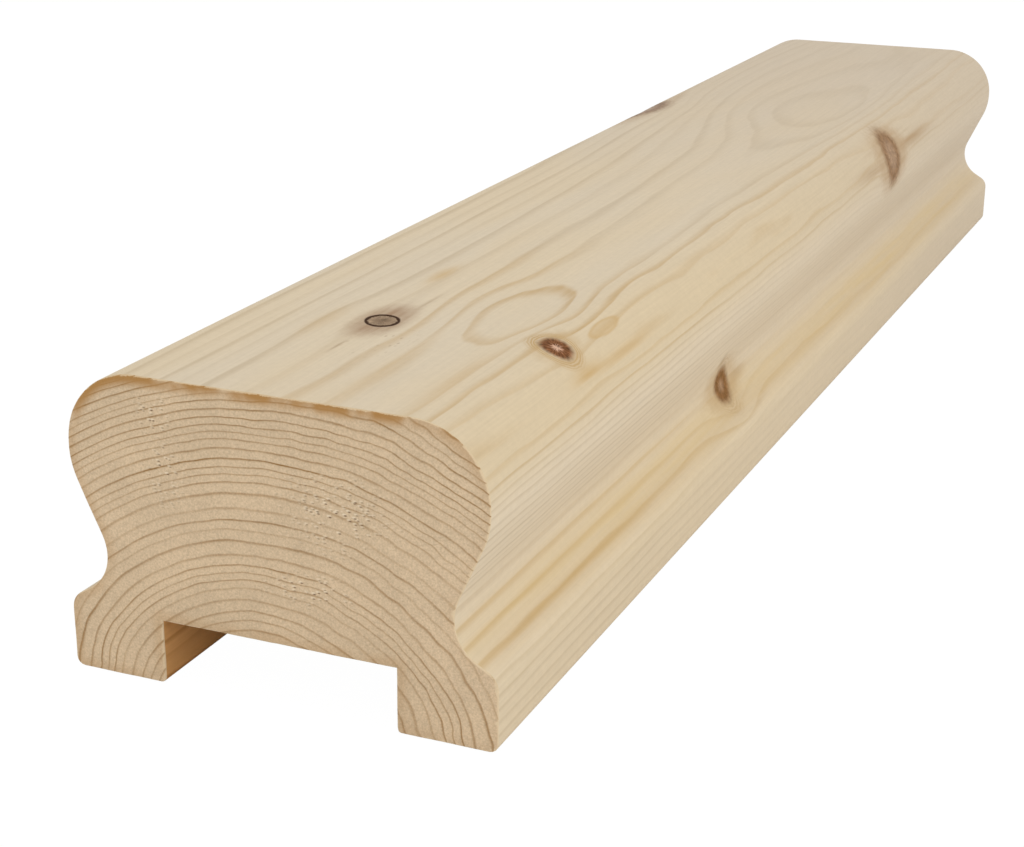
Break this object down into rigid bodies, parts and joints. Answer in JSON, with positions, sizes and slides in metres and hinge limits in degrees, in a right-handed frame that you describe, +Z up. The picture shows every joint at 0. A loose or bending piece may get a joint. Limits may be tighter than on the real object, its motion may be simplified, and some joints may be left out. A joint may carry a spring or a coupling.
{
  "type": "stair handrail length",
  "caption": "Moulded softwood stair handrail length with a flat-topped head, round shoulders, a finger cove down each side and a square spindle groove along its underside.",
  "frame": {"origin": "on the floor under the middle of the rail, midway along it and midway between its two feet", "axes": "+X across the rail, +Y along it towards the far sawn end, +Z up from the floor to the flat top"},
  "size_m": [0.0746, 0.37, 0.051],
  "materials": {
    "pine": "planed and sanded softwood, unfinished, with knots"
  },
  "bodies": {
    "root": {"handrail": "pine"}
  },
  "joints": []
}
